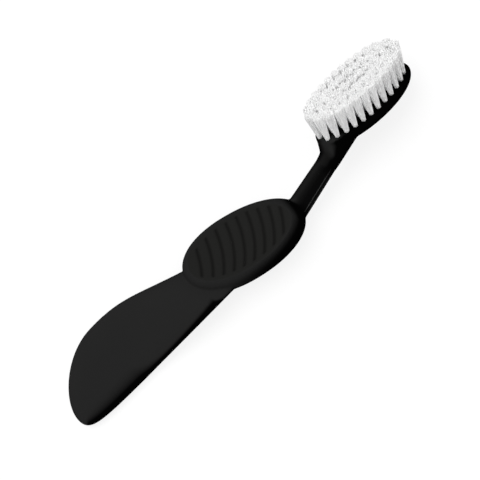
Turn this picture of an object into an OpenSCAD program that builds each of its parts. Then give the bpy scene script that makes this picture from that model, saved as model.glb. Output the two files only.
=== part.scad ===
// Adult manual toothbrush with a wide oval head, for the right hand.
// One moulded handle runs from a flat wing through an oval grip with a dished, grooved
// thumb pad and a slim neck to the head plate. It twists as it goes, so that the head
// leans over while the wing lies flat. Each tuft is a folded bundle of nylon filaments,
// held in a blind hole by a small metal anchor driven across it.
// X runs from tail to head, +Z is up, and the flat back of the handle lies on Z = 0.

/* [Wing] */
// Length from the tail to the waist, where the wing meets the grip
wing_l = 69.9; // [60:0.1:80]
// Greatest width of the wing
wing_w = 29.4; // [26:0.1:31]
// Distance of the widest place from the tail
crest_x = 29; // [26:0.5:33]
// Width of the wing at the waist
waist_w = 19.5; // [17.5:0.1:20.5]
// Thickness along the straight edge, near the tail
tail_edge_t = 5.8; // [5:0.1:7]
// Thickness along the straight edge, at the waist
waist_edge_t = 9.8; // [9:0.1:11]
// Lift of the straight edge at the waist, where the wing twists into the grip
waist_lift = 6.3; // [5:0.1:7]
// Thickness along the curved edge, near the tail
tail_lip_t = 4.2; // [3.6:0.1:5]
// Thickness along the curved edge, at the waist
waist_lip_t = 9; // [8:0.1:10]

/* [Grip] */
// Length of the oval grip
grip_l = 54; // [50:0.5:60]
// Width of the grip, square to its length
grip_w = 28.2; // [26:0.2:30]
// Thickness of the grip before the pad is dished
grip_t = 14.8; // [13.5:0.1:16]
// Angle of the grip's length to the brush, in degrees
grip_yaw = -15.5; // [-20:0.5:-12]
// Lean of the grip about its own length, in degrees
grip_roll = 23; // [18:1:28]

/* [Thumb pad] */
// Length of the dished pad
pad_l = 48; // [42:0.5:49]
// Width of the dished pad
pad_w = 23.6; // [21:0.2:25]
// Depth of the dish below its rim
pad_depth = 1.3; // [0.9:0.1:1.8]
// Number of grooves
groove_count = 9; // [7:1:9]
// Mean distance between grooves, along the pad
groove_pitch = 4.7; // [4.4:0.05:5]
// How much that distance falls from each groove to the next, towards the head
groove_taper = 0.1; // [0:0.02:0.14]
// Width of a groove at the pad's surface
groove_w = 1.7; // [1.3:0.1:2]
// Depth of a groove
groove_depth = 0.55; // [0.4:0.05:0.7]
// Angle of the grooves to the pad's length, in degrees
groove_angle = 68; // [62:1:76]
// Radius of the grooves' bow, seen from above
groove_bow = 45; // [38:1:60]
// Margin between the groove ends and the pad's rim
groove_margin = 1.4; // [1.2:0.1:2.4]

/* [Neck] */
// Length of the neck between the grip and the head
neck_l = 22.6; // [20:0.2:26]
// Width of the neck where it leaves the grip
neck_w = 9.2; // [8.4:0.1:9.8]
// Width of the neck at the head
neck_end_w = 8.2; // [7.4:0.1:8.8]
// Thickness of the neck
neck_t = 6.8; // [6:0.1:7.6]
// Angle of the neck to the brush, in degrees
neck_yaw = 10; // [8:0.5:12]
// Rise of the neck, in degrees
neck_rise = 8.5; // [7.5:0.5:9.5]
// Lean of the neck about its own length, in degrees
neck_roll = 16; // [12:1:22]
// Length of the web that joins neck and head, ahead of the head's heel
web_l = 4; // [3:0.5:6]
// Length of that web under the head
web_run = 12; // [9:0.5:14]

/* [Head] */
// Length of the oval head plate
head_l = 49.9; // [48.5:0.1:53]
// Width of the head plate
head_w = 24.2; // [23:0.2:25.6]
// Thickness of the head plate
head_t = 4.9; // [4.6:0.1:5.6]
// Radius along the plate's upper edge
face_r = 1.3; // [1:0.1:1.5]
// Lean of the head about its own length, in degrees
head_roll = 46; // [43:1:50]
// Droop of the head towards its tip, in degrees
head_droop = 7.6; // [6:0.1:9]
// Angle of the head's length to the brush, in degrees
head_yaw = -4.2; // [-6:0.1:-3]
// Height of the middle of the bristled face above the table
head_h = 14.5; // [14:0.1:17]

/* [Tufts] */
// Diameter of a tuft where it leaves the plate
tuft_d = 2; // [1.8:0.05:2.1]
// Diameter of a tuft at its tip
tuft_tip_d = 2.9; // [2.2:0.1:3.4]
// Length of a tuft above the plate
tuft_reach = 12.8; // [11:0.1:14]
// Least distance between tufts along an oval
tuft_pitch = 4; // [3.8:0.1:4.4]
// Distance from the plate's edge to the axes of the outer tufts, at the sides
side_margin = 2.9; // [2.4:0.1:3.2]
// The same distance at the heel and the tip
end_margin = 2.1; // [2.1:0.1:3]
// Shift of the whole pattern of tufts towards the heel
tuft_shift = 0.5; // [0:0.1:0.6]
// Distance between the outer and the inner oval
oval_gap = 4.2; // [4:0.1:4.4]
// Distance between tufts in the middle row
row_pitch = 4.2; // [4:0.1:4.4]
// Depth of a tuft hole
hole_depth = 3; // [2.8:0.1:3.2]

/* [Anchors] */
// Length of an anchor, across its hole and into both walls
anchor_l = 2.8; // [2.6:0.05:3]
// Height of an anchor
anchor_h = 1.5; // [1.2:0.1:1.6]
// Thickness of the anchor strip
anchor_t = 0.25; // [0.2:0.01:0.3]
// Angle of the anchors to the head's length, in degrees
anchor_angle = 35; // [0:5:90]

/* [Clearances] */
// Radial gap between a tuft and its hole
hole_gap = 0.03; // [0.02:0.005:0.05]
// Gap around an anchor in its slot
anchor_gap = 0.02; // [0.01:0.005:0.03]
// Gap between the fold of a tuft and the bottom of its hole
fold_gap = 0.1; // [0.05:0.01:0.15]

/* [Hidden] */
HANDLE_BLACK = "#202020";
NYLON_WHITE = "#f4f4f2";
ANCHOR_BRASS = "#b8974e";
$fn = 32;

// Places along and across the brush, measured from the tail
edge_y = -3.6;              // straight edge, at the tail
edge_fall = 2;              // how far that edge falls by the waist
tail_y = 3.2;               // middle of the rounded tail
grip_y = 3;                 // middle of the grip
grip_overlap = 1.8;         // overlap of the grip's end and the waist
neck_y = -2.4;              // axis of the neck where it leaves the grip
neck_z = 8.9;
head_y = 7.8;               // middle of the bristled face
origin_x = 25;              // the part's origin, on the flat back of the wing
origin_y = 10;
grip_x = wing_l - grip_overlap + cos(grip_yaw) * grip_l / 2;
grip_end_x = grip_x + cos(grip_yaw) * grip_l / 2;
head_x = grip_end_x + neck_l + cos(head_yaw) * head_l / 2;

// Fullness of the sections: 2 is an ellipse, and more is squarer
wing_n = 3;
grip_n = 3;
plan_n = 2.15;
neck_n = 2.6;

function lame(c, n) = sign(c) * pow(abs(c), 2 / n);
function smooth(t) = let(c = max(0, min(1, t))) c * c * (3 - 2 * c);
function bezier(p, t) =
    pow(1 - t, 3) * p[0] + 3 * t * pow(1 - t, 2) * p[1]
    + 3 * t * t * (1 - t) * p[2] + t * t * t * p[3];

// A closed skin through rings of equally many points, with flat ends
module skin(rings) {
    n = len(rings[0]);
    last = (len(rings) - 1) * n;
    polyhedron(
        points = [for (ring = rings) each ring],
        faces = concat(
            [[for (i = [0 : n - 1]) i]],
            [for (j = [0 : len(rings) - 2], i = [0 : n - 1], half = [0, 1])
                let(a = j * n + i, b = j * n + (i + 1) % n)
                half == 0 ? [a, a + n, b + n] : [a, b + n, b]],
            [[for (i = [n - 1 : -1 : 0]) last + i]]));
}

// Wing: each section spans the straight edge and the curved edge
wing_sides = 32;
wing_steps = 40;
tail_steps = 14;
wing_sink = 0.15;           // how far the belly of the wing is cut flat
nose_w = 14;                // width up to which the tail is rounded in thickness
root_l = 11;                // length of the wing's root inside the grip
waist_slope = -0.355;
crest = [crest_x, edge_at(crest_x) + wing_w];
waist = [wing_l, edge_at(wing_l) + waist_w];
function edge_at(x) = edge_y - edge_fall * x / wing_l;
function straight_edge(t) = t < 1
    ? bezier([[0, tail_y], [0, tail_y - 6], [5, edge_at(0) + 0.2],
        [crest_x, edge_at(crest_x)]], t)
    : let(x = t < 2 ? crest_x + (wing_l - crest_x) * (t - 1) : wing_l + root_l * (t - 2))
        [x, edge_at(x)];
function curved_edge(t) = t < 1
    ? bezier([[0, tail_y], [0, tail_y + 8.6], crest - [15, 0], crest], t)
    : t < 2
    ? bezier([crest, crest + [16.8, 0], waist - [19, 19 * waist_slope], waist], t - 1)
    : waist + root_l * (t - 2) * [1, waist_slope];
function wing_ring(t) = let(
        low = straight_edge(t),
        high = curved_edge(t),
        swell = smooth((low.x - crest_x) / (wing_l - crest_x)),
        edge_t = tail_edge_t + (waist_edge_t - tail_edge_t) * swell,
        lip_t = tail_lip_t + (waist_lip_t - tail_lip_t) * swell,
        nose = sqrt(1 - pow(1 - min(1, norm(high - low) / nose_w), 2)))
    [for (a = [0 : 360 / wing_sides : 359])
        let(s = lame(cos(a), wing_n),
            p = (low + high) / 2 + (high - low) / 2 * s,
            half_t = (edge_t + (lip_t - edge_t) * (1 + s) / 2) / 2,
            lift = waist_lift * swell * (1 - s) / 2)
        [p.x, p.y, lift + half_t - wing_sink + nose * half_t * lame(sin(a), wing_n)]];

module wing() {
    skin([for (i = [0 : wing_steps])
        wing_ring(i < tail_steps
            ? max(0.003, 1 - cos(90 * i / tail_steps))
            : 1 + 2 * (i - tail_steps) / (wing_steps - tail_steps))]);
}

// Grip: an egg-shaped pebble that leans over its own length
grip_sides = 48;
egg = 0.05;                 // how much wider it is towards the tail
belly_cut = 0.5;            // how far the grip's belly is cut flat
belly_full = 0.5;           // how far its full section reaches past an ellipse
grip_z = norm([grip_w / 2 * sin(grip_roll), grip_t / 2 * cos(grip_roll)]) + belly_full - belly_cut;
function half_width(x) = grip_w / 2 * (1 - egg * x / (grip_l / 2));
// Height of the pebble's upper surface at a place in its own frame
function pebble_z(p) =
    let(r = pow(pow(abs(p.x) / (grip_l / 2), plan_n) + pow(abs(p.y) / half_width(p.x), plan_n),
        1 / plan_n))
    grip_t / 2 * pow(max(0, 1 - pow(r, grip_n)), 1 / grip_n);
module in_grip() {
    translate([grip_x, grip_y, grip_z]) rotate([0, 0, grip_yaw]) rotate([-grip_roll, 0, 0])
        children();
}
module pebble() {
    skin([for (h = [-78 : 12 : 54]) [for (a = [0 : 360 / grip_sides : 359])
        let(r = lame(cos(h), grip_n), x = grip_l / 2 * r * lame(cos(a), plan_n))
        [x, half_width(x) * r * lame(sin(a), plan_n), grip_t / 2 * lame(sin(h), grip_n)]]]);
}

// Thumb pad: its rim meets the pebble's surface at both ends and both sides. A barrel laid
// along the grip scoops the dish, and bowed grooves cross it
pad_shift = -1.4;           // place of the pad's middle along the grip
pad_z = pebble_z([pad_shift, pad_w / 2]);
pad_pitch = atan((pebble_z([pad_shift + pad_l / 2, 0]) - pebble_z([pad_shift - pad_l / 2, 0])) / pad_l);
barrel_r = (pow(pad_w / 2, 2) + pow(pad_depth, 2)) / (2 * pad_depth);
barrel_bow = (pow(pad_l / 2, 2) + pow(pad_depth, 2)) / (2 * pad_depth);
barrel_l = pad_l + 3;
function dish_z(p) = let(r = barrel_r - barrel_bow + sqrt(pow(barrel_bow, 2) - p.x * p.x))
    barrel_r - pad_depth - sqrt(r * r - p.y * p.y);
module in_pad() {
    in_grip() translate([pad_shift, 0, pad_z]) rotate([0, -pad_pitch, 0]) children();
}
module dish() {
    translate([0, 0, barrel_r - pad_depth]) rotate([0, 90, 0]) rotate_extrude($fn = 120)
        intersection() {
            translate([barrel_r - barrel_bow, 0]) circle(barrel_bow, $fn = 360);
            translate([0, -barrel_l / 2]) square([barrel_r + 1, barrel_l]);
        }
}

groove_sides = 8;
groove_shift = 1.5;         // place of the middle groove on the pad
groove_steps = 14;
groove_r = (pow(groove_w / 2, 2) + pow(groove_depth, 2)) / (2 * groove_depth);
function bow_angle(s) = groove_angle + s / groove_bow * 180 / PI;
// A point of the groove that crosses the pad's length at x, a distance s along it
function groove_point(x, s) = [
    x + groove_bow * (sin(bow_angle(s)) - sin(groove_angle)),
    groove_bow * (cos(groove_angle) - cos(bow_angle(s)))];
function on_pad(p) =
    norm([p.x / (pad_l / 2 - groove_margin), p.y / (pad_w / 2 - groove_margin)]) < 1;
module groove(x) {
    spans = [for (s = [-16 : 0.25 : 16]) if (on_pad(groove_point(x, s))) s];
    middle = (min(spans) + max(spans)) / 2;
    half = (max(spans) - min(spans)) / 2;
    skin([for (i = [0 : groove_steps])
        let(s = middle - half * cos(180 * i / groove_steps),
            end = max(0.02, min(1, (half - abs(s - middle)) / groove_r)),
            r = groove_r * sqrt(1 - pow(1 - end, 2)),
            p = groove_point(x, s),
            z = dish_z(p) + groove_r - groove_depth,
            side = [-sin(bow_angle(s)), cos(bow_angle(s))])
        [for (a = [0 : 360 / groove_sides : 359])
            [p.x + side.x * r * cos(a), p.y + side.y * r * cos(a), z + r * sin(a)]]]);
}
module grooves() {
    for (i = [0 : groove_count - 1])
        let(k = i - (groove_count - 1) / 2)
            groove(groove_shift + k * (groove_pitch - k * groove_taper / 2));
}

// Neck: a straight bar of rounded section, slimmer towards the head
neck_sides = 32;
neck_root = 10;             // length inside the grip
module in_neck() {
    translate([grip_end_x, neck_y, neck_z]) rotate([-neck_roll, -neck_rise, neck_yaw]) children();
}
function neck_w_at(x) = neck_w + (neck_end_w - neck_w) * max(0, x) / neck_l;
// A stretch of the neck; grow widens it and rise lifts its top
module bar(from, to, grow = 1, rise = 0) {
    skin([for (x = [from, to]) [for (a = [0 : 360 / neck_sides : 359])
        [x, grow * neck_w_at(x) / 2 * lame(cos(a), neck_n),
            rise / 2 + (neck_t + rise) / 2 * lame(sin(a), neck_n)]]]);
}
module neck() {
    in_neck() union() {
        bar(-neck_root, 0);
        bar(0, neck_l - web_l + 0.5);
    }
}

// Head: an oval plate with a small radius above and a full rounded back
plate_sides = 56;
back_r = head_t - face_r;
module in_head() {
    translate([head_x, head_y, head_h]) rotate([-head_roll, head_droop, head_yaw]) children();
}
function plate_ring(inset, z) = [for (a = [0 : 360 / plate_sides : 359])
    [(head_l / 2 - inset) * cos(a), (head_w / 2 - inset) * sin(a), z]];
module plate() {
    skin(concat(
        [for (a = [-90 : 15 : 0])
            plate_ring(back_r * (1 - cos(a)), -face_r + back_r * sin(a))],
        [for (a = [30 : 30 : 90])
            plate_ring(face_r * (1 - cos(a)), -face_r + face_r * sin(a))]));
}

// Web: it spreads the neck to the plate's heel, through a knee that keeps its top hollow
knee_l = 0.2;               // distance of the knee from the neck's end
knee_rise = 1.3;            // height of the knee above the top of the neck
knee_grow = 1.08;           // how much wider the knee is than the neck
module knee() in_neck() bar(neck_l - knee_l, neck_l - knee_l + 0.2, knee_grow, knee_rise);
module web() {
    hull() {
        in_neck() bar(neck_l - web_l - 0.4, neck_l - web_l, 0.99);
        knee();
    }
    hull() {
        knee();
        // The heel's part of the plate, a little shrunk to stay inside it
        in_head() translate([0, 0, -0.1]) scale([0.99, 0.985, 0.96]) intersection() {
            plate();
            translate([-head_l / 2, -head_w / 2, -head_t]) cube([web_run, head_w, head_t]);
        }
    }
}

// Tufts stand in two ovals and a middle row, as many in each as the pitch allows
function oval_lengths(a, b, step = 3) = [
    for (i = 0, s = 0; i <= 360 / step;
        s = s + norm([a * (cos(step * i + step) - cos(step * i)),
            b * (sin(step * i + step) - sin(step * i))]), i = i + 1)
    [s, step * i]];
function oval_points(a, b, phase) = let(
        lengths = oval_lengths(a, b),
        total = lengths[len(lengths) - 1][0],
        count = floor(total / tuft_pitch))
    [for (k = [0 : count - 1])
        let(t = lookup(total * (k + phase) / count, lengths)) [a * cos(t), b * sin(t)]];
outer_turn = 0.75;          // place of the outer oval's first tuft, as a share of its pitch
outer_a = head_l / 2 - end_margin;
outer_b = head_w / 2 - side_margin;
inner_a = outer_a - oval_gap;
inner_b = outer_b - oval_gap;
row_half = floor((inner_a - oval_gap) / row_pitch);     // tufts on each side of the middle one
TUFTS = concat(
    oval_points(outer_a, outer_b, outer_turn),
    oval_points(inner_a, inner_b, 0.5),
    [for (i = [-row_half : row_half]) [i * row_pitch, 0]]);
module at_tuft(p) {
    translate([p.x - tuft_shift, p.y, 0]) children();
}

fold_t = 0.5;               // thickness of the fold below the anchor
fold_z = fold_gap - hole_depth;
anchor_z = fold_z + fold_t;
// A block across a tuft, as wide as an anchor plus the gap, from its foot to a height
module strip(l, h, gap) {
    rotate([0, 0, anchor_angle])
        translate([-l / 2 - gap, -anchor_t / 2 - gap, anchor_z - gap])
            cube([l + 2 * gap, anchor_t + 2 * gap, h + 2 * gap]);
}
module tuft_hole() {
    translate([0, 0, -hole_depth]) cylinder(d = tuft_d + 2 * hole_gap, h = hole_depth + 1, $fn = 20);
    // The slit that the anchor cuts as it is driven in
    strip(anchor_l, 1 - anchor_z, anchor_gap);
}
tip_r = 0.6;                // rounding of a tuft's tip
module tuft(i) color(NYLON_WHITE) in_head() at_tuft(TUFTS[i])
    difference() {
        rotate_extrude() polygon(concat(
            [[0, fold_z], [tuft_d / 2 - 0.3, fold_z], [tuft_d / 2, fold_z + 0.3],
                [tuft_d / 2, 0.5]],
            [for (a = [0 : 30 : 90])
                [tuft_tip_d / 2 - tip_r * (1 - cos(a)), tuft_reach - tip_r * (1 - sin(a))]],
            [[0, tuft_reach]]));
        strip(2 * tuft_d, anchor_h, anchor_gap);
    }

module anchors() color(ANCHOR_BRASS) in_head()
    for (p = TUFTS) at_tuft(p) strip(anchor_l, anchor_h, 0);

module handle() color(HANDLE_BLACK) difference() {
    union() {
        wing();
        in_grip() pebble();
        neck();
        web();
        in_head() plate();
    }
    translate([-10, -40, -10]) cube([head_x + head_l, 80, 10]);
    in_pad() dish();
    in_pad() grooves();
    in_head() for (p = TUFTS) at_tuft(p) tuft_hole();
}

module place() translate([-origin_x, -origin_y, 0]) children();

place() handle();
for (i = [0 : len(TUFTS) - 1])
    place() tuft(i);
place() anchors();
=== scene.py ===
"""Adult toothbrush with a twisted black handle and a leaning oval head of white tufts.

The handle is skinned in high resolution from the same named sizes as the solids, so that light
runs over it without facets: a voxel skin joins the wing, grip, neck, web and head plate, and the
thumb pad is then pressed into it. Each tuft is a bundle of separate nylon filaments that splay
from the tuft's hole. Sizes are in millimetres and degrees, measured from the tail, up to the
place where a mesh is made.
"""

import math
import random

import bmesh
import bpy
import numpy as np
from mathutils import Matrix, Vector


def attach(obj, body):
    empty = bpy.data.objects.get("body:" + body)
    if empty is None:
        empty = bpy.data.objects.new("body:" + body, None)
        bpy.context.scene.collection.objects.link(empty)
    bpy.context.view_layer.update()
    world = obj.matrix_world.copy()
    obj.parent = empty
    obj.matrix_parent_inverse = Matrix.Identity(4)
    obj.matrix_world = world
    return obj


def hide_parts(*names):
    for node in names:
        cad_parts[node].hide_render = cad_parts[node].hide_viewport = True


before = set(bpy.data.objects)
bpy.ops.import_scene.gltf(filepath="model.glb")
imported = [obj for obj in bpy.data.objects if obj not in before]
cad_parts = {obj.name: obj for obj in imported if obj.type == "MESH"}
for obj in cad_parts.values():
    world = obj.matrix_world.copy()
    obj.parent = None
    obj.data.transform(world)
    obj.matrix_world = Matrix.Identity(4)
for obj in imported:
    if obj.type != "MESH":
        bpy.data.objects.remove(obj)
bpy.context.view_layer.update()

MM = 0.001
ORIGIN = np.array([25.0, 10.0, 0.0])    # the part's origin, measured from the tail

# Wing: its length and widths, the thickness of its straight edge and of its curved lip
WING_L, WING_W, CREST_X, WAIST_W = 69.9, 29.4, 29.0, 19.5
TAIL_EDGE_T, WAIST_EDGE_T, WAIST_LIFT = 5.8, 9.8, 6.3
TAIL_LIP_T, WAIST_LIP_T = 4.2, 9.0
EDGE_Y, EDGE_FALL, TAIL_Y = -3.6, 2.0, 3.2
WING_SINK, NOSE_W, ROOT_L, WAIST_SLOPE = 0.15, 14.0, 11.0, -0.355

# Wing: how far the curves of its outline reach from the tail, straight edge, crest and waist
TAIL_DOWN, TAIL_UP, EDGE_LEAD, EDGE_INSET = 6.0, 8.6, 5.0, 0.2
CREST_BACK, CREST_AHEAD, WAIST_BACK = 15.0, 16.8, 19.0

# Grip and thumb pad
GRIP_L, GRIP_W, GRIP_T, GRIP_YAW, GRIP_ROLL = 54.0, 28.2, 14.8, -15.5, 23.0
GRIP_Y, GRIP_OVERLAP, EGG, BELLY_CUT, BELLY_FULL = 3.0, 1.8, 0.05, 0.5, 0.5
PAD_L, PAD_W, PAD_DEPTH, PAD_SHIFT = 48.0, 23.6, 1.3, -1.4
GROOVE_COUNT, GROOVE_PITCH, GROOVE_TAPER, GROOVE_SHIFT = 9, 4.7, 0.1, 1.5
GROOVE_W, GROOVE_DEPTH, GROOVE_ANGLE, GROOVE_BOW, GROOVE_MARGIN = 1.7, 0.55, 68.0, 45.0, 1.4

# Neck, web and head
NECK_L, NECK_W, NECK_END_W, NECK_T = 22.6, 9.2, 8.2, 6.8
NECK_YAW, NECK_RISE, NECK_ROLL = 10.0, 8.5, 16.0
NECK_Y, NECK_Z, NECK_ROOT, NECK_LAP = -2.4, 8.9, 10.0, 0.5
WEB_L, WEB_RUN, WEB_FIT = 4.0, 12.0, 0.99
KNEE_L, KNEE_T, KNEE_RISE, KNEE_GROW = 0.2, 0.2, 1.3, 1.08
HEEL_FIT, HEEL_SINK = (0.99, 0.985, 0.96), 0.1    # keeps the web's heel just inside the plate
HEAD_L, HEAD_W, HEAD_T, FACE_R = 49.9, 24.2, 4.9, 1.3
HEAD_ROLL, HEAD_DROOP, HEAD_YAW, HEAD_Y, HEAD_H = 46.0, 7.6, -4.2, 7.8, 14.5

# Tufts
TUFT_D, TUFT_TIP_D, TUFT_REACH = 2.0, 2.9, 12.8
TUFT_PITCH, OVAL_GAP, ROW_PITCH = 4.0, 4.2, 4.2
OUTER_TURN, INNER_TURN = 0.75, 0.5      # place of each oval's first tuft, as a share of its pitch
SIDE_MARGIN, END_MARGIN, TUFT_SHIFT = 2.9, 2.1, 0.5


def sin(degrees):
    return math.sin(math.radians(degrees))


def cos(degrees):
    return math.cos(math.radians(degrees))


def around(sides):
    """Angles of the points of a ring."""
    return np.linspace(0, 360, sides, endpoint=False)


def turn(roll, pitch, yaw):
    """The matrix that turns about X, then Y, then Z."""
    about = Matrix.Rotation(math.radians(yaw), 3, "Z")
    about = about @ Matrix.Rotation(math.radians(pitch), 3, "Y")
    return np.array(about @ Matrix.Rotation(math.radians(roll), 3, "X"))


def lame(c, n):
    """Turns a sine or cosine into that of a fuller round: 2 is an ellipse, and more is squarer."""
    return math.copysign(abs(c) ** (2 / n), c)


def smooth(t):
    """Eases from 0 to 1, and stays there on either side."""
    t = np.clip(t, 0, 1)
    return t * t * (3 - 2 * t)


def bezier(p, t):
    return ((1 - t) ** 3 * p[0] + 3 * t * (1 - t) ** 2 * p[1]
            + 3 * t * t * (1 - t) * p[2] + t ** 3 * p[3])


GRIP_N, PLAN_N, WING_N, NECK_N = 3.0, 2.15, 3.0, 2.6    # fullness of the sections
GRIP_X = WING_L - GRIP_OVERLAP + cos(GRIP_YAW) * GRIP_L / 2
GRIP_Z = math.hypot(GRIP_W / 2 * sin(GRIP_ROLL), GRIP_T / 2 * cos(GRIP_ROLL)) + BELLY_FULL - BELLY_CUT
GRIP_END_X = GRIP_X + cos(GRIP_YAW) * GRIP_L / 2
WEB_END_X = GRIP_END_X + NECK_L
WEB_START_X = WEB_END_X - WEB_L
GRIP_AT, GRIP_TURN = np.array([GRIP_X, GRIP_Y, GRIP_Z]), turn(-GRIP_ROLL, 0, GRIP_YAW)
NECK_AT, NECK_TURN = np.array([GRIP_END_X, NECK_Y, NECK_Z]), turn(-NECK_ROLL, -NECK_RISE, NECK_YAW)
HEAD_AT = np.array([WEB_END_X + cos(HEAD_YAW) * HEAD_L / 2, HEAD_Y, HEAD_H])
HEAD_TURN = turn(-HEAD_ROLL, HEAD_DROOP, HEAD_YAW)


# Wing: each ring spans the straight edge and the curved edge

WING_RINGS, WING_SIDES = 130, 96
TAIL_SHARE = 0.4                # share of the rings that lie on the rounded tail
FIRST_RING = 0.003              # place of the first ring, just off the tail's tip


def edge_at(x):
    """Y of the straight edge."""
    return EDGE_Y - EDGE_FALL * x / WING_L


CREST = np.array([CREST_X, edge_at(CREST_X) + WING_W])
WAIST = np.array([WING_L, edge_at(WING_L) + WAIST_W])


def straight_edge(t):
    """The straight edge: from the tail to the crest at 1, the waist at 2 and the root at 3."""
    if t < 1:
        return bezier(np.array([[0, TAIL_Y], [0, TAIL_Y - TAIL_DOWN],
                                [EDGE_LEAD, edge_at(0) + EDGE_INSET],
                                [CREST_X, edge_at(CREST_X)]]), t)
    x = CREST_X + (WING_L - CREST_X) * (t - 1) if t < 2 else WING_L + ROOT_L * (t - 2)
    return np.array([x, edge_at(x)])


def curved_edge(t):
    """The curved edge, by the same steps."""
    if t < 1:
        return bezier(np.array([[0, TAIL_Y], [0, TAIL_Y + TAIL_UP], CREST - [CREST_BACK, 0], CREST]), t)
    if t < 2:
        return bezier(np.array([CREST, CREST + [CREST_AHEAD, 0],
                                WAIST - [WAIST_BACK, WAIST_BACK * WAIST_SLOPE], WAIST]), t - 1)
    return WAIST + ROOT_L * (t - 2) * np.array([1, WAIST_SLOPE])


def wing_ring(t):
    low, high = straight_edge(t), curved_edge(t)
    swell = smooth((low[0] - CREST_X) / (WING_L - CREST_X))
    edge_t = TAIL_EDGE_T + (WAIST_EDGE_T - TAIL_EDGE_T) * swell
    lip_t = TAIL_LIP_T + (WAIST_LIP_T - TAIL_LIP_T) * swell
    width = np.linalg.norm(high - low)
    nose = math.sqrt(1 - (1 - min(1, width / NOSE_W)) ** 2)
    ring = []
    for a in around(WING_SIDES):
        s = lame(cos(a), WING_N)
        x, y = (low + high) / 2 + (high - low) / 2 * s
        half_t = (edge_t + (lip_t - edge_t) * (1 + s) / 2) / 2
        lift = WAIST_LIFT * swell * (1 - s) / 2
        ring.append([x, y, lift + half_t - WING_SINK + nose * half_t * lame(sin(a), WING_N)])
    return ring


def wing_rings():
    rings = []
    for i in range(WING_RINGS + 1):
        f = i / WING_RINGS
        if f < TAIL_SHARE:
            rings.append(wing_ring(max(FIRST_RING, 1 - cos(90 * f / TAIL_SHARE))))
        else:
            rings.append(wing_ring(1 + 2 * (f - TAIL_SHARE) / (1 - TAIL_SHARE)))
    return np.array(rings)


# Grip: an egg-shaped pebble that leans over its own length

GRIP_RINGS, GRIP_SIDES = 64, 160
POLE = 89.0                     # height angle of the last ring, just short of the pebble's pole


def half_width(x):
    return GRIP_W / 2 * (1 - EGG * x / (GRIP_L / 2))


def pebble_z(x, y):
    """Height of the pebble's upper surface in its own frame."""
    r = (abs(x / (GRIP_L / 2)) ** PLAN_N + abs(y / half_width(x)) ** PLAN_N) ** (1 / PLAN_N)
    return GRIP_T / 2 * max(0, 1 - r ** GRIP_N) ** (1 / GRIP_N)


def pebble_rings():
    rings = []
    for h in np.linspace(-POLE, POLE, GRIP_RINGS + 1):
        r = lame(cos(h), GRIP_N)
        ring = []
        for a in around(GRIP_SIDES):
            x = GRIP_L / 2 * r * lame(cos(a), PLAN_N)
            ring.append([x, half_width(x) * r * lame(sin(a), PLAN_N), GRIP_T / 2 * lame(sin(h), GRIP_N)])
        rings.append(ring)
    return np.array(rings) @ GRIP_TURN.T + GRIP_AT


# Neck, web and head plate

NECK_SIDES, PLATE_SIDES = 96, 240


def neck_ring(x, grow=1.0, rise=0.0):
    """A section of the neck; grow widens it and rise lifts its top."""
    width = grow * (NECK_W + (NECK_END_W - NECK_W) * max(0, x) / NECK_L)
    ring = [[x, width / 2 * lame(cos(a), NECK_N),
             rise / 2 + (NECK_T + rise) / 2 * lame(sin(a), NECK_N)] for a in around(NECK_SIDES)]
    return np.array(ring) @ NECK_TURN.T + NECK_AT


def plate_rings():
    back_r = HEAD_T - FACE_R
    profile = [(back_r * (1 - cos(a)), -FACE_R + back_r * sin(a)) for a in range(-90, 0, 6)]
    profile += [(FACE_R * (1 - cos(a)), -FACE_R + FACE_R * sin(a)) for a in range(0, 91, 10)]
    return np.array([[[(HEAD_L / 2 - inset) * cos(a), (HEAD_W / 2 - inset) * sin(a), z]
                      for a in around(PLATE_SIDES)] for inset, z in profile])


# Handle: its forms are pushed through each other, then joined by one voxel skin

def skin(mesh, rings):
    """Adds a closed skin through rings of equally many points, with flat ends."""
    rows = [[mesh.verts.new(p) for p in ring] for ring in rings]
    count = len(rows[0])
    for a, b in zip(rows, rows[1:]):
        for k in range(count):
            mesh.faces.new((a[k], b[k], b[(k + 1) % count], a[(k + 1) % count]))
    mesh.faces.new(rows[0])
    mesh.faces.new(rows[-1][::-1])


def wrap(mesh, points):
    """Adds the convex wrap of some points."""
    verts = [mesh.verts.new(p) for p in points]
    made = bmesh.ops.convex_hull(mesh, input=verts)
    bmesh.ops.delete(mesh, geom=[v for v in made["geom_interior"] if v.is_valid], context="VERTS")


def rough_handle():
    """The handle's forms as one mesh, in millimetres."""
    neck = np.array([neck_ring(x) for x in (-NECK_ROOT, 0, NECK_L - WEB_L + NECK_LAP)])
    plate = plate_rings() @ HEAD_TURN.T + HEAD_AT
    forms = []
    for rings in (wing_rings(), pebble_rings(), plate, neck):
        form = bmesh.new()
        skin(form, rings)
        forms.append(form)
    web_start = neck_ring(NECK_L - WEB_L, grow=WEB_FIT)
    knee = np.concatenate([neck_ring(NECK_L - KNEE_L + x, grow=KNEE_GROW, rise=KNEE_RISE)
                           for x in (0, KNEE_T)])
    heel = (plate_rings() * HEEL_FIT - [0, 0, HEEL_SINK]).reshape(-1, 3)
    heel = heel[heel[:, 0] < WEB_RUN - HEAD_L / 2] @ HEAD_TURN.T + HEAD_AT
    for points in (np.concatenate([web_start, knee]), np.concatenate([knee, heel])):
        form = bmesh.new()
        wrap(form, points)
        forms.append(form)
    whole = bmesh.new()
    for form in forms:
        bmesh.ops.recalc_face_normals(form, faces=form.faces)
        part = bpy.data.meshes.new("form")
        form.to_mesh(part)
        form.free()
        whole.from_mesh(part)
        bpy.data.meshes.remove(part)
    return whole


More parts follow.
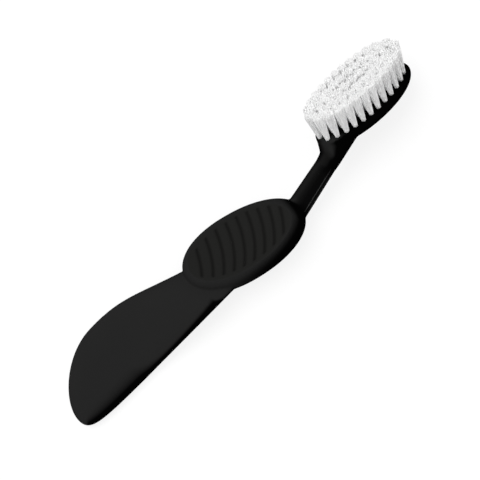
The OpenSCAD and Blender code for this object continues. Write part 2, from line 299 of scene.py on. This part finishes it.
def modified(obj, kind, **values):
    """Applies one modifier to a piece."""
    modifier = obj.modifiers.new(kind.lower(), kind)
    for name, value in values.items():
        setattr(modifier, name, value)
    depsgraph = bpy.context.evaluated_depsgraph_get()
    result = bpy.data.meshes.new_from_object(obj.evaluated_get(depsgraph))
    obj.modifiers.clear()
    old, obj.data = obj.data, result
    bpy.data.meshes.remove(old)


# Thumb pad: a dish pressed into the pebble by a bowed barrel, and the grooves across it

PAD_Z = pebble_z(PAD_SHIFT, PAD_W / 2)
PAD_PITCH = math.degrees(math.atan(
    (pebble_z(PAD_SHIFT + PAD_L / 2, 0) - pebble_z(PAD_SHIFT - PAD_L / 2, 0)) / PAD_L))
BARREL_R = ((PAD_W / 2) ** 2 + PAD_DEPTH ** 2) / (2 * PAD_DEPTH)
BARREL_BOW = ((PAD_L / 2) ** 2 + PAD_DEPTH ** 2) / (2 * PAD_DEPTH)
PAD_TURN = GRIP_TURN @ turn(0, -PAD_PITCH, 0)
PAD_AT = GRIP_AT + GRIP_TURN @ np.array([PAD_SHIFT, 0, PAD_Z])
PRESS_PAST, PRESS_BESIDE, PRESS_BELOW = 1.5, 2.0, 4.0   # how far round the pad the press reaches
RIM_R, PAD_EDGE = 0.12, 0.25            # softness of the dish's rim and of its finish's edge
GROOVE_END, GROOVE_FADE = 1.02, 0.07    # where the grooves end, and over which share of the pad
VALLEY_W, VALLEY_N = 0.36, 1.7          # half width of a valley as a share of GROOVE_W, and its form


def groove_depth(x, y):
    """Depth of the grooves at places on the pad: narrow valleys between soft ridges."""
    deepest = np.zeros_like(x)
    inside = np.hypot(x / (PAD_L / 2 - GROOVE_MARGIN), y / (PAD_W / 2 - GROOVE_MARGIN))
    for i in range(GROOVE_COUNT):
        k = i - (GROOVE_COUNT - 1) / 2
        middle = GROOVE_SHIFT + k * (GROOVE_PITCH - k * GROOVE_TAPER / 2)
        bow_x = middle - GROOVE_BOW * sin(GROOVE_ANGLE)
        bow_y = GROOVE_BOW * cos(GROOVE_ANGLE)
        away = np.abs(np.hypot(x - bow_x, y - bow_y) - GROOVE_BOW)
        deepest = np.maximum(deepest, np.exp(-(away / (VALLEY_W * GROOVE_W)) ** VALLEY_N))
    return GROOVE_DEPTH * deepest * smooth((GROOVE_END - inside) / GROOVE_FADE)


def press_pad(points):
    """Presses the dish and its grooves into the points above it.

    Returns the new points, how far each is in the dish and how far it is in a groove.
    """
    local = (points - PAD_AT) @ PAD_TURN
    x, y, z = local.T
    bow = BARREL_R - BARREL_BOW + np.sqrt(np.maximum(BARREL_BOW ** 2 - x * x, 0))
    dish = BARREL_R - PAD_DEPTH - np.sqrt(np.maximum(bow * bow - y * y, 0))
    over = np.abs(x) < PAD_L / 2 + PRESS_PAST
    over &= (np.abs(y) < PAD_W / 2 + PRESS_BESIDE) & (z > -PRESS_BELOW)
    pressed = -RIM_R * np.logaddexp(-z / RIM_R, -dish / RIM_R)
    inside = np.where(over, np.clip((z - dish) / PAD_EDGE + 0.5, 0, 1), 0)
    groove = inside * groove_depth(x, y)
    local[:, 2] = np.where(over, pressed - groove, z)
    return local @ PAD_TURN.T + PAD_AT, inside, groove / GROOVE_DEPTH


# Painted shade on the side walls: walls that turn towards one side of the handle, and walls that
# turn far away from it, are painted darker than the faces, standing in for the shade there. Each
# row gives a place along the handle, the turn towards that side at which the walls start, how
# softly they start, and where the walls on the far side do

# The side, away from the key light, whose walls are painted in shade
SHADED_SIDE = np.array([0.6, -0.8, 0])
FAR_SOFT = 0.3
PAINTED_SHADE_ROWS = (
    (CREST_X, -0.03, 0.22, 1.0),
    (WING_L - 12, -0.12, 0.22, 0.5),
    (WING_L - 1, -0.16, 0.22, 1.0),
    (WING_L + 3, 0.3, 0.6, 1.0),
    (GRIP_X, 0.0, 0.7, 0.9),
    (GRIP_END_X - 5, -0.15, 0.6, 0.4),
    (GRIP_END_X, -0.55, 0.35, 0.6),
    (WEB_START_X + 2, -0.55, 0.35, 0.6),
    (WEB_START_X + 4, -0.3, 0.3, 0.6),
    (WEB_END_X + 3, -0.35, 0.3, 0.6),
    (WEB_END_X + 10, -0.75, 0.3, 0.6),
)
# Grooves are painted darker at their floors, as the shade in a recess
GROOVE_PAINTED_SHADE = 0.4              # how dark a groove's floor is, as a share of a wall


def wall_painted_shade(points, normals):
    """How much painted shade the side walls get, from 0 on the faces to 1."""
    places, *columns = np.array(PAINTED_SHADE_ROWS).T
    near_start, near_soft, far_start = (np.interp(points[:, 0], places, c) for c in columns)
    near = smooth((normals @ SHADED_SIDE - near_start) / near_soft)
    far = np.clip((-normals @ SHADED_SIDE - far_start) / FAR_SOFT, 0, 1)
    return np.maximum(near, far)


VOXEL = 0.44
SMOOTHING, SMOOTH_PASSES = 0.5, 7
FINE_MARGIN, FINE_BELOW = 1.0, 3.0      # how far round the pad its finer faces reach


def make_handle():
    whole = rough_handle()
    mesh = bpy.data.meshes.new("handle_skin")
    whole.to_mesh(mesh)
    whole.free()
    obj = bpy.data.objects.new("handle_skin", mesh)
    bpy.context.scene.collection.objects.link(obj)
    modified(obj, "REMESH", mode="VOXEL", voxel_size=VOXEL, adaptivity=0.0)
    modified(obj, "SMOOTH", factor=SMOOTHING, iterations=SMOOTH_PASSES)

    # Finer faces on the pad, for its grooves
    fine = bmesh.new()
    fine.from_mesh(obj.data)
    fine.verts.ensure_lookup_table()
    x, y, z = ((np.array([v.co for v in fine.verts]) - PAD_AT) @ PAD_TURN).T
    on_pad = (x / (PAD_L / 2 + FINE_MARGIN)) ** 2 + (y / (PAD_W / 2 + FINE_MARGIN)) ** 2 < 1
    on_pad &= z > -FINE_BELOW
    edges = [e for e in fine.edges if all(on_pad[v.index] for v in e.verts)]
    bmesh.ops.subdivide_edges(fine, edges=edges, cuts=1, use_grid_fill=True)

    # The pad is pressed in, and the belly is cut flat where the handle lies
    fine.verts.ensure_lookup_table()
    points, inside, groove = press_pad(np.array([v.co for v in fine.verts]))
    points[:, 2] = np.maximum(points[:, 2], 0)
    for v, p in zip(fine.verts, points):
        v.co = (p - ORIGIN) * MM
    fine.normal_update()

    # Masks: how far each point is on the pad's finish, and how much painted shade it gets
    # on the side walls and in the grooves
    painted_walls = wall_painted_shade(points, np.array([v.normal for v in fine.verts])) * (1 - inside)
    for name, values in (("pad", inside), ("painted_shade", np.maximum(painted_walls, GROOVE_PAINTED_SHADE * groove))):
        layer = fine.verts.layers.float.new(name)
        for v, value in zip(fine.verts, values):
            v[layer] = value
    fine.to_mesh(obj.data)
    fine.free()
    obj.data.shade_smooth()
    return obj


# Tufts stand in two ovals and a middle row, as many in each as the pitch allows

def oval_points(a, b, phase):
    turns = np.radians(np.arange(0, 361, 3))
    corners = np.stack([a * np.cos(turns), b * np.sin(turns)], 1)
    length = np.concatenate([[0], np.cumsum(np.linalg.norm(np.diff(corners, axis=0), axis=1))])
    count = int(length[-1] / TUFT_PITCH)
    at = np.interp(length[-1] * (np.arange(count) + phase) / count, length, turns)
    return [(a * math.cos(t) - TUFT_SHIFT, b * math.sin(t)) for t in at]


OUTER_A, OUTER_B = HEAD_L / 2 - END_MARGIN, HEAD_W / 2 - SIDE_MARGIN
INNER_A, INNER_B = OUTER_A - OVAL_GAP, OUTER_B - OVAL_GAP
ROW_HALF = int((INNER_A - OVAL_GAP) / ROW_PITCH)        # tufts on each side of the middle one
TUFT_PLACES = (oval_points(OUTER_A, OUTER_B, OUTER_TURN) + oval_points(INNER_A, INNER_B, INNER_TURN)
               + [(i * ROW_PITCH - TUFT_SHIFT, 0) for i in range(-ROW_HALF, ROW_HALF + 1)])

# Filaments: packed in rows in the hole, and splayed towards their tips
FILAMENT_R, TIP_R = 0.09, 0.2           # the tips are drawn thicker, to close the field
FILAMENT_SIDES = 6
TIP_ROUND = 0.85                        # the last ring's share of the tip's radius
STATIONS = (-0.8, 1.0, 4.0, 7.5, 10.5, 12.5, 12.75)     # heights of its rings, from inside the hole
PACKING, ROW_STEP = 0.178, 0.866        # pitch in a row, and of the rows as a share of it
PACKING_PLAY = 0.02
GRID_HALF = 7                           # rows, and places in a row, on each side of the middle
# How much wider a bundle is at its tip: on the near side, in the middle and on the far side
TIP_SPREADS = np.array([1.72, 1.9, 1.9, 1.3]) * TUFT_TIP_D / TUFT_D
SPREAD_PLAY, REACH_PLAY, STRAY = (0.88, 1.06), (0.98, 0.993), 0.16
SPREAD_POWER = 0.88                     # under 1, so that a bundle opens early
SEED = 4100


def filament_feet(rng):
    feet = []
    for row in range(-GRID_HALF, GRID_HALF + 1):
        for place in range(-GRID_HALF, GRID_HALF + 1):
            x = (place + 0.5 * (row % 2)) * PACKING + rng.uniform(-PACKING_PLAY, PACKING_PLAY)
            y = row * PACKING * ROW_STEP + rng.uniform(-PACKING_PLAY, PACKING_PLAY)
            if math.hypot(x, y) < TUFT_D / 2 - FILAMENT_R:
                feet.append((x, y))
    return feet


def add_filament(points, faces, foot, tip_spread, rng):
    """Adds one filament to a tuft's points and faces: rings from foot to tip, closed at both ends."""
    spread = tip_spread * rng.uniform(*SPREAD_PLAY)
    lean = (rng.gauss(0, STRAY), rng.gauss(0, STRAY))
    reach = TUFT_REACH * rng.uniform(*REACH_PLAY)
    first = len(points)
    for z in STATIONS:
        f = max(0, z) / TUFT_REACH
        opened = 1 + (spread - 1) * f ** SPREAD_POWER
        r = FILAMENT_R + (TIP_R - FILAMENT_R) * f
        if z == STATIONS[-1]:
            r *= TIP_ROUND
        x, y = foot[0] * opened + lean[0] * f * f, foot[1] * opened + lean[1] * f * f
        for a in around(FILAMENT_SIDES):
            points.append((x + r * cos(a), y + r * sin(a), z * reach / TUFT_REACH))
    points.append((x, y, reach))

    def ring(j):
        start = first + j * FILAMENT_SIDES
        return [(start + k, start + (k + 1) % FILAMENT_SIDES) for k in range(FILAMENT_SIDES)]

    last = len(STATIONS) - 1
    for j in range(last):
        faces.extend((a, b, b + FILAMENT_SIDES, a + FILAMENT_SIDES) for a, b in ring(j))
    faces.extend((a, b, len(points) - 1) for a, b in ring(last))
    faces.append(tuple(a for a, b in reversed(ring(0))))


def make_tuft(index, place, material):
    rng = random.Random(SEED + index)
    tip_spread = np.interp(place[1], [-OUTER_B, -INNER_B, INNER_B, OUTER_B], TIP_SPREADS)
    points, faces = [], []
    for foot in filament_feet(rng):
        add_filament(points, faces, foot, tip_spread, rng)
    local = np.array(points) + [place[0], place[1], 0]
    placed = (local @ HEAD_TURN.T + HEAD_AT - ORIGIN) * MM
    mesh = bpy.data.meshes.new(f"filaments_{index}")
    mesh.from_pydata(placed.tolist(), [], faces)
    mesh.shade_smooth()
    mesh.materials.append(material)
    obj = bpy.data.objects.new(f"filaments_{index}", mesh)
    bpy.context.scene.collection.objects.link(obj)
    return obj


# Finishes

def node(tree, kind, x=0, y=0, **values):
    made = tree.nodes.new(kind)
    made.location = (x, y)
    for name, value in values.items():
        setattr(made, name, value)
    return made


def mould_grain():
    """Fine texture of a moulded surface: a height for bump and a mask for uneven gloss."""
    group = bpy.data.node_groups.new("mould_grain", "ShaderNodeTree")
    face = group.interface
    face.new_socket("Grain per m", in_out="INPUT", socket_type="NodeSocketFloat")
    face.new_socket("Cloud per m", in_out="INPUT", socket_type="NodeSocketFloat")
    face.new_socket("Height", in_out="OUTPUT", socket_type="NodeSocketFloat")
    face.new_socket("Cloud", in_out="OUTPUT", socket_type="NodeSocketFloat")
    ins = node(group, "NodeGroupInput", -600)
    outs = node(group, "NodeGroupOutput", 300)
    place = node(group, "ShaderNodeTexCoord", -600, 250)
    grain = node(group, "ShaderNodeTexNoise", -300, 200)
    grain.inputs["Detail"].default_value = 2
    cloud = node(group, "ShaderNodeTexNoise", -300, -100)
    cloud.inputs["Detail"].default_value = 3
    link = group.links.new
    link(place.outputs["Object"], grain.inputs["Vector"])
    link(place.outputs["Object"], cloud.inputs["Vector"])
    link(ins.outputs["Grain per m"], grain.inputs["Scale"])
    link(ins.outputs["Cloud per m"], cloud.inputs["Scale"])
    link(grain.outputs["Fac"], outs.inputs["Height"])
    link(cloud.outputs["Fac"], outs.inputs["Cloud"])
    return group


GRAIN = mould_grain()


def finish_base(name):
    material = bpy.data.materials.new(name)
    material.use_nodes = True
    tree = material.node_tree
    return material, tree, tree.nodes["Principled BSDF"]


def mapped(tree, source, low, high, x=0, y=0, from_min=0.0, from_max=1.0):
    """Maps a mask onto a range of values."""
    made = node(tree, "ShaderNodeMapRange", x, y)
    made.inputs["From Min"].default_value = from_min
    made.inputs["From Max"].default_value = from_max
    made.inputs["To Min"].default_value = low
    made.inputs["To Max"].default_value = high
    tree.links.new(source, made.inputs["Value"])
    return made.outputs["Result"]


def joined(tree, operation, a, b, x=0, y=0):
    """Joins two values by a sum, product or maximum."""
    made = node(tree, "ShaderNodeMath", x, y, operation=operation)
    tree.links.new(a, made.inputs[0])
    tree.links.new(b, made.inputs[1])
    return made.outputs[0]


def toned(tree, mask, source, tone, x=0, y=0):
    """Turns a colour into another where a mask is 1."""
    made = node(tree, "ShaderNodeMix", x, y, data_type="RGBA")
    made.inputs["B"].default_value = tone
    tree.links.new(mask, made.inputs["Factor"])
    tree.links.new(source, made.inputs["A"])
    return made.outputs["Result"]


def clouded(tree, grain, darker, lighter, start=0.0):
    """A colour that drifts between two tones with the grain's clouds, from start to 1 - start."""
    made = node(tree, "ShaderNodeValToRGB", -300, 500)
    low, high = made.color_ramp.elements
    low.position, high.position = start, 1 - start
    low.color, high.color = darker, lighter
    tree.links.new(grain.outputs["Cloud"], made.inputs["Fac"])
    return made.outputs["Color"]


def add_grain(tree, shader, per_m, cloud_per_m, strength, depth):
    """Roughens a surface with the mould's grain, of a depth in millimetres."""
    grain = node(tree, "ShaderNodeGroup", -900, -200)
    grain.node_tree = GRAIN
    grain.inputs["Grain per m"].default_value = per_m
    grain.inputs["Cloud per m"].default_value = cloud_per_m
    bump = node(tree, "ShaderNodeBump", -250, -400)
    bump.inputs["Strength"].default_value = strength
    bump.inputs["Distance"].default_value = depth * MM
    tree.links.new(grain.outputs["Height"], bump.inputs["Height"])
    tree.links.new(bump.outputs["Normal"], shader.inputs["Normal"])
    return grain


BLACK_DARKER, BLACK_LIGHTER = (0.0165, 0.0165, 0.0165, 1), (0.0187, 0.0187, 0.0185, 1)
PAD_TONE, NECK_TONE = (0.0154, 0.0154, 0.0147, 1), (0.0092, 0.0092, 0.0090, 1)
# Colour of the painted shade on the side walls and in the grooves
PAINTED_SHADE_TONE = (0.0012, 0.0012, 0.0012, 1)


def satin_black():
    """Black moulded plastic: satin, a little matter on the pad, glossier on the neck.

    The neck is darker than the wing and grip. Painted shade makes the side walls nearly black
    and darkens the floors of the grooves.
    """
    material, tree, shader = finish_base("satin_black_plastic")
    grain = add_grain(tree, shader, per_m=4200, cloud_per_m=60, strength=0.08, depth=0.02)
    place = node(tree, "ShaderNodeTexCoord", -900, 300)
    axes = node(tree, "ShaderNodeSeparateXYZ", -700, 300)
    tree.links.new(place.outputs["Object"], axes.inputs["Vector"])
    pad = node(tree, "ShaderNodeAttribute", -700, 100, attribute_name="pad").outputs["Fac"]
    # The painted shade of the side walls and grooves, as made with the handle
    painted_shade = node(tree, "ShaderNodeAttribute", -200, 750, attribute_name="painted_shade").outputs["Fac"]

    def ramp(start, end, low, high, y):
        """A value that runs from low to high between two places along the handle."""
        return mapped(tree, axes.outputs["X"], low, high, -500, y,
                      (start - ORIGIN[0]) * MM, (end - ORIGIN[0]) * MM)

    past_grip = ramp(GRIP_END_X - 1, GRIP_END_X + 2, 0.0, 1.0, 300)
    before_web = ramp(WEB_START_X + 2.5, WEB_START_X + 4.5, 1.0, 0.0, 700)
    neck = joined(tree, "MULTIPLY", past_grip, before_web, -300, 250)
    colour = clouded(tree, grain, BLACK_DARKER, BLACK_LIGHTER)
    colour = toned(tree, pad, colour, PAD_TONE, -200, 500)
    colour = toned(tree, neck, colour, NECK_TONE, 0, 500)
    # Painted shade: the side walls and groove floors turn nearly black
    colour = toned(tree, painted_shade, colour, PAINTED_SHADE_TONE, 200, 500)
    tree.links.new(colour, shader.inputs["Base Color"])

    pad_matt = mapped(tree, pad, 0.0, 0.06, -500, 60)
    uneven = mapped(tree, grain.outputs["Cloud"], 0.47, 0.53, -500, -160)
    tree.links.new(joined(tree, "ADD", pad_matt, uneven, -300, 100), shader.inputs["Roughness"])
    shader.inputs["Specular IOR Level"].default_value = 0.0

    gloss = ramp(WEB_START_X - 4, WEB_START_X, 0.05, 0.0, -380)
    tree.links.new(joined(tree, "MULTIPLY", past_grip, gloss, -300, -80), shader.inputs["Coat Weight"])
    shader.inputs["Coat Roughness"].default_value = 0.12
    shader.inputs["Coat IOR"].default_value = 1.45
    return material


def white_nylon():
    """White nylon filament, through which a little light passes."""
    material, tree, shader = finish_base("white_nylon")
    grain = add_grain(tree, shader, per_m=1500, cloud_per_m=240, strength=0.05, depth=0.02)
    colour = clouded(tree, grain, (0.975, 0.975, 0.974, 1), (0.990, 0.990, 0.990, 1), start=0.25)
    tree.links.new(colour, shader.inputs["Base Color"])
    tree.links.new(mapped(tree, grain.outputs["Cloud"], 0.45, 0.55, -500, 100),
                   shader.inputs["Roughness"])
    shader.inputs["Specular IOR Level"].default_value = 0.25
    shader.inputs["Subsurface Weight"].default_value = 0.4
    shader.inputs["Subsurface Radius"].default_value = (1.0, 1.0, 1.0)
    shader.inputs["Subsurface Scale"].default_value = 0.15 * MM
    return material


def rolled_brass():
    """Brass strip of the anchors, which no view shows once the tufts are in."""
    material, tree, shader = finish_base("rolled_brass")
    grain = add_grain(tree, shader, per_m=3000, cloud_per_m=500, strength=0.1, depth=0.01)
    colour = clouded(tree, grain, (0.55, 0.40, 0.17, 1), (0.74, 0.58, 0.30, 1))
    tree.links.new(colour, shader.inputs["Base Color"])
    tree.links.new(mapped(tree, grain.outputs["Height"], 0.3, 0.42, -500, 100),
                   shader.inputs["Roughness"])
    shader.inputs["Metallic"].default_value = 1.0
    return material


# Pieces

handle = make_handle()
handle.data.materials.clear()
handle.data.materials.append(satin_black())
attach(handle, "root")
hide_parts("handle")

nylon = white_nylon()
for i, place in enumerate(TUFT_PLACES):
    tuft = make_tuft(i + 1, place, nylon)
    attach(tuft, "root")
    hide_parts(f"tuft_{i + 1}")

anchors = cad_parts["anchors"]
anchors.data.materials.clear()
anchors.data.materials.append(rolled_brass())


# Camera: nearly straight above, with the brush slanting up across the frame

CAMERA_TILT = 8.0               # lean of the view towards the tail
BRUSH_ANGLE = 47.0              # angle of the brush in the frame
FRAME_MM = 189.2                # width of the frame at the brush
CAMERA_AWAY = 600.0             # distance of the lens from the brush
AIM_U, AIM_V = 94.58, 5.63      # the frame's middle, along and across, measured from the tail
AIM_Z = 8.0                     # height at which the frame's width is measured
along = Vector((cos(CAMERA_TILT), 0, sin(CAMERA_TILT)))
across = Vector((0, 1, 0))
toward = Vector((-sin(CAMERA_TILT), 0, cos(CAMERA_TILT)))
right = along * cos(BRUSH_ANGLE) - across * sin(BRUSH_ANGLE)
up = along * sin(BRUSH_ANGLE) + across * cos(BRUSH_ANGLE)
aim = Vector(((AIM_U - AIM_Z * sin(CAMERA_TILT)) / cos(CAMERA_TILT) - ORIGIN[0],
              AIM_V - ORIGIN[1], AIM_Z)) * MM
camera = bpy.data.objects.new("camera", bpy.data.cameras.new("camera"))
camera.data.lens = camera.data.sensor_width * CAMERA_AWAY / FRAME_MM
camera.location = aim + toward * (CAMERA_AWAY * MM)
camera.rotation_euler = Matrix((right, up, toward)).transposed().to_euler()
camera.data.clip_end = 20
bpy.context.scene.collection.objects.link(camera)
bpy.context.scene.camera = camera


# Floor, background and lights

def white_to_camera(tree, lit, white):
    """Mixes a shader with a plain white one where the camera, gloss or glass sees it directly."""
    path = node(tree, "ShaderNodeLightPath", -400, 300)
    seen = joined(tree, "MAXIMUM", path.outputs["Is Camera Ray"], path.outputs["Is Glossy Ray"],
                  -200, 300)
    direct = joined(tree, "MAXIMUM", seen, path.outputs["Is Transmission Ray"], -50, 300)
    mix = node(tree, "ShaderNodeMixShader", 200)
    tree.links.new(direct, mix.inputs["Fac"])
    tree.links.new(lit, mix.inputs[1])
    tree.links.new(white, mix.inputs[2])
    return mix.outputs[0]


def pale_floor():
    """Seen white with its shadow; what it throws back at the brush is kept dim."""
    material, tree, shader = finish_base("pale_floor")
    shader.inputs["Base Color"].default_value = (0.16, 0.16, 0.16, 1)
    shader.inputs["Roughness"].default_value = 0.8
    shader.inputs["Specular IOR Level"].default_value = 0.1
    shadowed = node(tree, "ShaderNodeBsdfDiffuse", -200, -200)
    shadowed.inputs["Color"].default_value = (0.24, 0.24, 0.24, 1)
    glow = node(tree, "ShaderNodeEmission", -200, -350)
    glow.inputs["Strength"].default_value = 0.8
    white = node(tree, "ShaderNodeAddShader", 0, -250)
    tree.links.new(shadowed.outputs[0], white.inputs[0])
    tree.links.new(glow.outputs[0], white.inputs[1])
    tree.links.new(white_to_camera(tree, shader.outputs[0], white.outputs[0]),
                   tree.nodes["Material Output"].inputs["Surface"])
    return material


FLOOR_HALF = 12.0               # metres
floor_mesh = bpy.data.meshes.new("floor")
floor_mesh.from_pydata([(x * FLOOR_HALF, y * FLOOR_HALF, 0) for x, y in
                        ((-1, -1), (1, -1), (1, 1), (-1, 1))], [], [(0, 1, 2, 3)])
floor_mesh.materials.append(pale_floor())
floor = bpy.data.objects.new("floor", floor_mesh)
bpy.context.scene.collection.objects.link(floor)

SKY_LOW, SKY_HIGH = 0.16, 0.74          # brightness of the studio on its dark and its bright side
BRIGHT_SIDE = (toward * 0.55 + up * 0.6 - right * 0.6).normalized()


def studio():
    """Surroundings that brighten evenly towards one side, and are seen plain white."""
    world = bpy.data.worlds.new("studio")
    world.use_nodes = True
    tree = world.node_tree
    where = node(tree, "ShaderNodeTexCoord", -900)
    facing = node(tree, "ShaderNodeVectorMath", -700, operation="DOT_PRODUCT")
    facing.inputs[1].default_value = BRIGHT_SIDE
    tree.links.new(where.outputs["Generated"], facing.inputs[0])
    lit = tree.nodes["Background"]
    lit.inputs["Color"].default_value = (1, 1, 1, 1)
    tree.links.new(mapped(tree, facing.outputs["Value"], SKY_LOW, SKY_HIGH, -450, 0, -0.5, 1.0),
                   lit.inputs["Strength"])
    white = node(tree, "ShaderNodeBackground", 0, -200)
    white.inputs["Color"].default_value = (1, 1, 1, 1)
    tree.links.new(white_to_camera(tree, lit.outputs[0], white.outputs[0]),
                   tree.nodes["World Output"].inputs["Surface"])
    return world


def softbox(name, direction, distance, size, power, shines=True, lights=True):
    """An area light that faces the brush from a direction; size and distance are in metres."""
    lamp = bpy.data.lights.new(name, "AREA")
    lamp.shape = "RECTANGLE"
    lamp.size, lamp.size_y = size
    lamp.energy = power
    obj = bpy.data.objects.new(name, lamp)
    direction = direction.normalized()
    obj.location = aim + direction * distance
    obj.rotation_euler = direction.to_track_quat("Z", "Y").to_euler()
    obj.visible_camera = False
    obj.visible_glossy = shines
    obj.visible_diffuse = lights
    bpy.context.scene.collection.objects.link(obj)
    return obj


bpy.context.scene.world = studio()
softbox("key_softbox", up * 0.35 - right * 0.55 + toward,
        distance=1.2, size=(0.9, 0.9), power=9.0, shines=False)
softbox("low_fill", -across + toward * 0.6,
        distance=0.9, size=(0.8, 0.8), power=2.6, shines=False)
softbox("low_strip", -across + toward * 0.75,
        distance=0.9, size=(1.4, 0.14), power=18.0, lights=False)

# Light passes many times between white filaments, so it is followed for long
bpy.context.scene.cycles.max_bounces = 16
bpy.context.scene.cycles.diffuse_bounces = 12
bpy.context.scene.view_settings.view_transform = "Standard"
